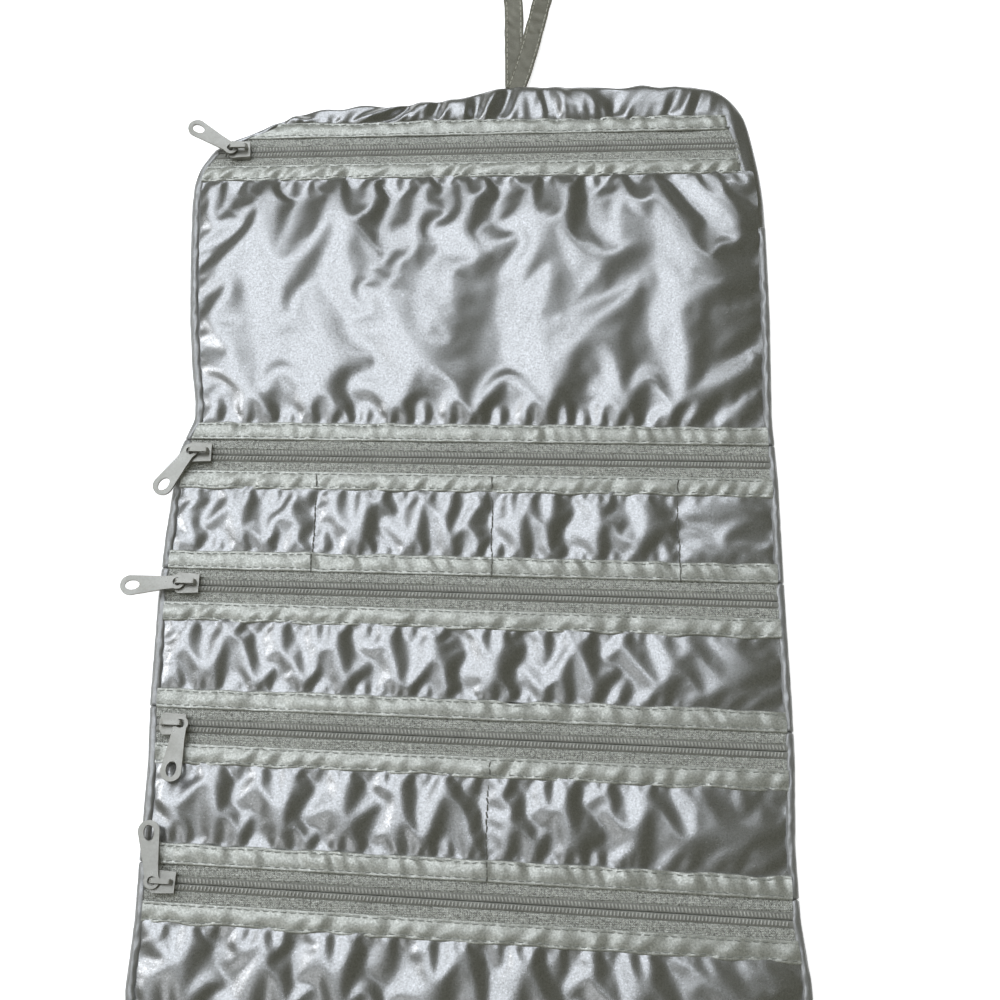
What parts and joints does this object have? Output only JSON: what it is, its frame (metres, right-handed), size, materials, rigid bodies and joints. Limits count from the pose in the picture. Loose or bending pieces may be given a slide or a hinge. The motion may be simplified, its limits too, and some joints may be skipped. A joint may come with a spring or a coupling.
{
  "type": "jewelry roll",
  "caption": "Satin jewelry roll lying open, with zipped pockets sewn across a padded back, sliding zip pulls, fold lines between the pockets and a pair of tie ribbons.",
  "frame": {"origin": "middle of the unrolled back, on its outer face", "axes": "+Y along the roll toward the end with the ties, +X across it, +Z out of the pockets' side"},
  "size_m": [0.2653, 0.495, 0.0101],
  "materials": {
    "satin": "silver grey satin with a soft shine",
    "binding": "rolled satin edge",
    "facing": "pale satin strip, sewn along both edges",
    "zip_tape": "woven warm grey tape with a nylon coil",
    "metal": "light grey enamel, slightly worn",
    "ribbon": "narrow folded satin tie, edge stitched"
  },
  "bodies": {
    "panel_1": {"back_panel_1": "satin", "pocket_1": "satin", "edge_binding_1_left": "binding", "edge_binding_1_right": "binding", "zip_1_facing_upper": "facing", "zip_1_facing_lower": "facing", "zip_1_stringer_upper": "zip_tape", "zip_1_stringer_lower": "zip_tape", "top_band": "satin", "tie_left": "ribbon", "tie_left_knot": "ribbon", "tie_right": "ribbon", "tie_right_knot": "ribbon"},
    "panel_2": {"back_panel_2": "satin", "pocket_2": "satin", "edge_binding_2_left": "binding", "edge_binding_2_right": "binding", "zip_2_facing_upper": "facing", "zip_2_facing_lower": "facing", "zip_2_stringer_upper": "zip_tape", "zip_2_stringer_lower": "zip_tape"},
    "panel_3": {"back_panel_3": "satin", "pocket_3": "satin", "edge_binding_3_left": "binding", "edge_binding_3_right": "binding", "zip_3_facing_upper": "facing", "zip_3_facing_lower": "facing", "zip_3_stringer_upper": "zip_tape", "zip_3_stringer_lower": "zip_tape"},
    "panel_4": {"back_panel_4": "satin", "pocket_4": "satin", "edge_binding_4_left": "binding", "edge_binding_4_right": "binding", "zip_4_facing_upper": "facing", "zip_4_facing_lower": "facing", "zip_4_stringer_upper": "zip_tape", "zip_4_stringer_lower": "zip_tape"},
    "panel_5": {"back_panel_5": "satin", "pocket_5": "satin", "edge_binding_5_left": "binding", "edge_binding_5_right": "binding", "zip_5_facing_upper": "facing", "zip_5_facing_lower": "facing", "zip_5_stringer_upper": "zip_tape", "zip_5_stringer_lower": "zip_tape", "bottom_hem": "satin"},
    "slider_1": {"zip_1_slider": "metal"},
    "pull_1": {"zip_1_pull": "metal"},
    "slider_2": {"zip_2_slider": "metal"},
    "pull_2": {"zip_2_pull": "metal"},
    "slider_3": {"zip_3_slider": "metal"},
    "pull_3": {"zip_3_pull": "metal"},
    "slider_4": {"zip_4_slider": "metal"},
    "pull_4": {"zip_4_pull": "metal"},
    "slider_5": {"zip_5_slider": "metal"},
    "pull_5": {"zip_5_pull": "metal"}
  },
  "joints": [
    {"name": "fold_1", "type": "hinge", "parent": "panel_1", "child": "panel_2", "pos_m": [0, 0.0384, 0.003], "axis": [-0.9999, -0.0134, 0], "range_deg": [0, 62]},
    {"name": "fold_2", "type": "hinge", "parent": "panel_2", "child": "panel_3", "pos_m": [0, -0.0114, 0.003], "axis": [-1, 0.004, 0], "range_deg": [0, 62]},
    {"name": "fold_3", "type": "hinge", "parent": "panel_3", "child": "panel_4", "pos_m": [0, -0.0616, 0.003], "axis": [-0.9998, 0.0216, 0], "range_deg": [0, 62]},
    {"name": "fold_4", "type": "hinge", "parent": "panel_4", "child": "panel_5", "pos_m": [0, -0.114, 0.003], "axis": [-0.9992, 0.0399, 0], "range_deg": [0, 18]},
    {"name": "zip_1_slide", "type": "slide", "parent": "panel_1", "child": "slider_1", "axis": [0.9986, 0.0538, 0], "range_m": [0, 0.1915]},
    {"name": "pull_1_swing", "type": "hinge", "parent": "slider_1", "child": "pull_1", "pos_m": [-0.0964, 0.1488, 0.0077], "axis": [0, 0, 1], "range_deg": [-65, 135]},
    {"name": "zip_2_slide", "type": "slide", "parent": "panel_2", "child": "slider_2", "axis": [1, 0.0089, 0], "range_m": [0, 0.1965]},
    {"name": "pull_2_swing", "type": "hinge", "parent": "slider_2", "child": "pull_2", "pos_m": [-0.1014, 0.0245, 0.0077], "axis": [0, 0, 1], "range_deg": [-157, 43]},
    {"name": "zip_3_slide", "type": "slide", "parent": "panel_3", "child": "slider_3", "axis": [1, -0.0085, 0], "range_m": [0, 0.197]},
    {"name": "pull_3_swing", "type": "hinge", "parent": "slider_3", "child": "pull_3", "pos_m": [-0.1019, -0.02353, 0.0077], "axis": [0, 0, 1], "range_deg": [-106, 94]},
    {"name": "zip_4_slide", "type": "slide", "parent": "panel_4", "child": "slider_4", "axis": [0.9997, -0.0261, 0], "range_m": [0, 0.1975]},
    {"name": "pull_4_swing", "type": "hinge", "parent": "slider_4", "child": "pull_4", "pos_m": [-0.0966, -0.07208, 0.0077], "axis": [0, 0, 1], "range_deg": [-40, 65]},
    {"name": "zip_5_slide", "type": "slide", "parent": "panel_5", "child": "slider_5", "axis": [0.999, -0.0444, 0], "range_m": [0, 0.1965]},
    {"name": "pull_5_swing", "type": "hinge", "parent": "slider_5", "child": "pull_5", "pos_m": [-0.1014, -0.12249, 0.0077], "axis": [0, 0, 1], "range_deg": [-21, 179]}
  ],
  "couplings": [
    {"joint": "fold_2", "follows": "fold_1", "ratio": 1},
    {"joint": "fold_3", "follows": "fold_1", "ratio": 1},
    {"joint": "fold_4", "follows": "fold_1", "ratio": 0.29032}
  ]
}
